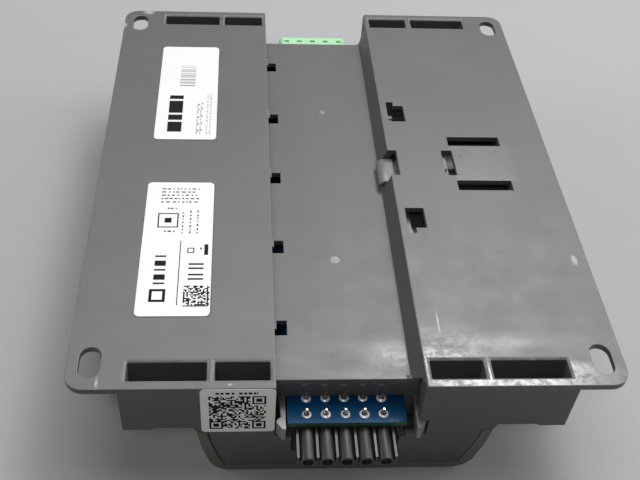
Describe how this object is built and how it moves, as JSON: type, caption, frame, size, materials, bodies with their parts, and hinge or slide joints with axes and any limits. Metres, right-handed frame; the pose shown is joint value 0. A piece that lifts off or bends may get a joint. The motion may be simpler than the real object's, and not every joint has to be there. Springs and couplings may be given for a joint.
{
  "type": "rail-mounted plc module",
  "caption": "Rail or panel mounted controller module with flanged back, rail channel and sprung latch, curved front cover, pull-off screw terminals and end-to-end bus connectors.",
  "frame": {"origin": "middle of the front cover's flat face, on which the module lies", "axes": "+Z towards the mounting side, +Y along the rail from the bus socket end to the bus header end, +X to the latch side"},
  "size_m": [0.1432, 0.1835, 0.0384],
  "materials": {
    "housing_plastic": "moulded, light satin",
    "cover_plastic": "fine moulded texture",
    "latch_plastic": "smooth moulded",
    "board_blue": "solder mask over glass fibre",
    "socket_plastic": "smooth moulded",
    "header_green": "smooth moulded",
    "terminal_header_green": "smooth moulded",
    "terminal_plug_green": "smooth moulded",
    "screw_steel": "zinc plated",
    "contact_brass": "tinned brass",
    "tinned_pin": "tin plated",
    "rating_label_film": "printed film",
    "end_label_film": "printed film",
    "clear_plastic": "clear acrylic",
    "led_plastic": "moulded resin",
    "dial_plastic": "smooth moulded",
    "switch_plastic": "smooth moulded",
    "relay_case": "smooth moulded",
    "capacitor_sleeve": "shrunk sleeve",
    "ferrite": "ferrite and enamelled wire",
    "fuse_ceramic": "ceramic",
    "chip_plastic": "moulded epoxy"
  },
  "bodies": {
    "module": {"address_switch_ones": "switch_plastic", "address_switch_tens": "switch_plastic", "board_screws": "screw_steel", "bus_contacts": "contact_brass", "bus_driver_chip": "chip_plastic", "bus_header": "header_green", "bus_header_pins": "tinned_pin", "bus_socket": "socket_plastic", "end_label": "end_label_film", "front_cover": "cover_plastic", "header_pins_left": "tinned_pin", "header_pins_right": "tinned_pin", "light_pipes": "clear_plastic", "main_board": "board_blue", "memory_chip": "chip_plastic", "output_relay_1": "relay_case", "output_relay_2": "relay_case", "output_relay_3": "relay_case", "output_relay_4": "relay_case", "output_relay_5": "relay_case", "output_relay_6": "relay_case", "processor": "chip_plastic", "rating_label_lower": "rating_label_film", "rating_label_upper": "rating_label_film", "rear_housing": "housing_plastic", "status_leds": "led_plastic", "supply_capacitor_large": "capacitor_sleeve", "supply_capacitor_small": "capacitor_sleeve", "supply_fuse": "fuse_ceramic", "supply_inductor": "ferrite", "terminal_header_left_1": "terminal_header_green", "terminal_header_left_2": "terminal_header_green", "terminal_header_left_3": "terminal_header_green", "terminal_header_right_1": "terminal_header_green", "terminal_header_right_2": "terminal_header_green", "terminal_header_right_3": "terminal_header_green"},
    "latch": {"din_latch": "latch_plastic"},
    "dial_ones": {"address_dial_ones": "dial_plastic"},
    "dial_tens": {"address_dial_tens": "dial_plastic"},
    "plug_left_1": {"terminal_plug_left_1": "terminal_plug_green", "plug_screws_left_1": "screw_steel", "plug_clamps_left_1": "contact_brass"},
    "plug_left_2": {"terminal_plug_left_2": "terminal_plug_green", "plug_screws_left_2": "screw_steel", "plug_clamps_left_2": "contact_brass"},
    "plug_left_3": {"terminal_plug_left_3": "terminal_plug_green", "plug_screws_left_3": "screw_steel", "plug_clamps_left_3": "contact_brass"},
    "plug_right_1": {"terminal_plug_right_1": "terminal_plug_green", "plug_screws_right_1": "screw_steel", "plug_clamps_right_1": "contact_brass"},
    "plug_right_2": {"terminal_plug_right_2": "terminal_plug_green", "plug_screws_right_2": "screw_steel", "plug_clamps_right_2": "contact_brass"},
    "plug_right_3": {"terminal_plug_right_3": "terminal_plug_green", "plug_screws_right_3": "screw_steel", "plug_clamps_right_3": "contact_brass"}
  },
  "joints": [
    {"name": "latch_slide", "type": "slide", "parent": "module", "child": "latch", "axis": [1, 0, 0], "range_m": [0, 0.0022], "stiffness_N_per_m": 800, "springref_m": -0.002},
    {"name": "dial_ones_turn", "type": "hinge", "parent": "module", "child": "dial_ones", "pos_m": [0.018, -0.058, 0], "axis": [0, 0, 1], "continuous": true},
    {"name": "dial_tens_turn", "type": "hinge", "parent": "module", "child": "dial_tens", "pos_m": [0.018, -0.044, 0], "axis": [0, 0, 1], "continuous": true},
    {"name": "plug_left_1_pull", "type": "slide", "parent": "module", "child": "plug_left_1", "axis": [-1, 0, 0], "range_m": [0, 0.014]},
    {"name": "plug_left_2_pull", "type": "slide", "parent": "module", "child": "plug_left_2", "axis": [-1, 0, 0], "range_m": [0, 0.014]},
    {"name": "plug_left_3_pull", "type": "slide", "parent": "module", "child": "plug_left_3", "axis": [-1, 0, 0], "range_m": [0, 0.014]},
    {"name": "plug_right_1_pull", "type": "slide", "parent": "module", "child": "plug_right_1", "axis": [1, 0, 0], "range_m": [0, 0.014]},
    {"name": "plug_right_2_pull", "type": "slide", "parent": "module", "child": "plug_right_2", "axis": [1, 0, 0], "range_m": [0, 0.014]},
    {"name": "plug_right_3_pull", "type": "slide", "parent": "module", "child": "plug_right_3", "axis": [1, 0, 0], "range_m": [0, 0.014]}
  ]
}
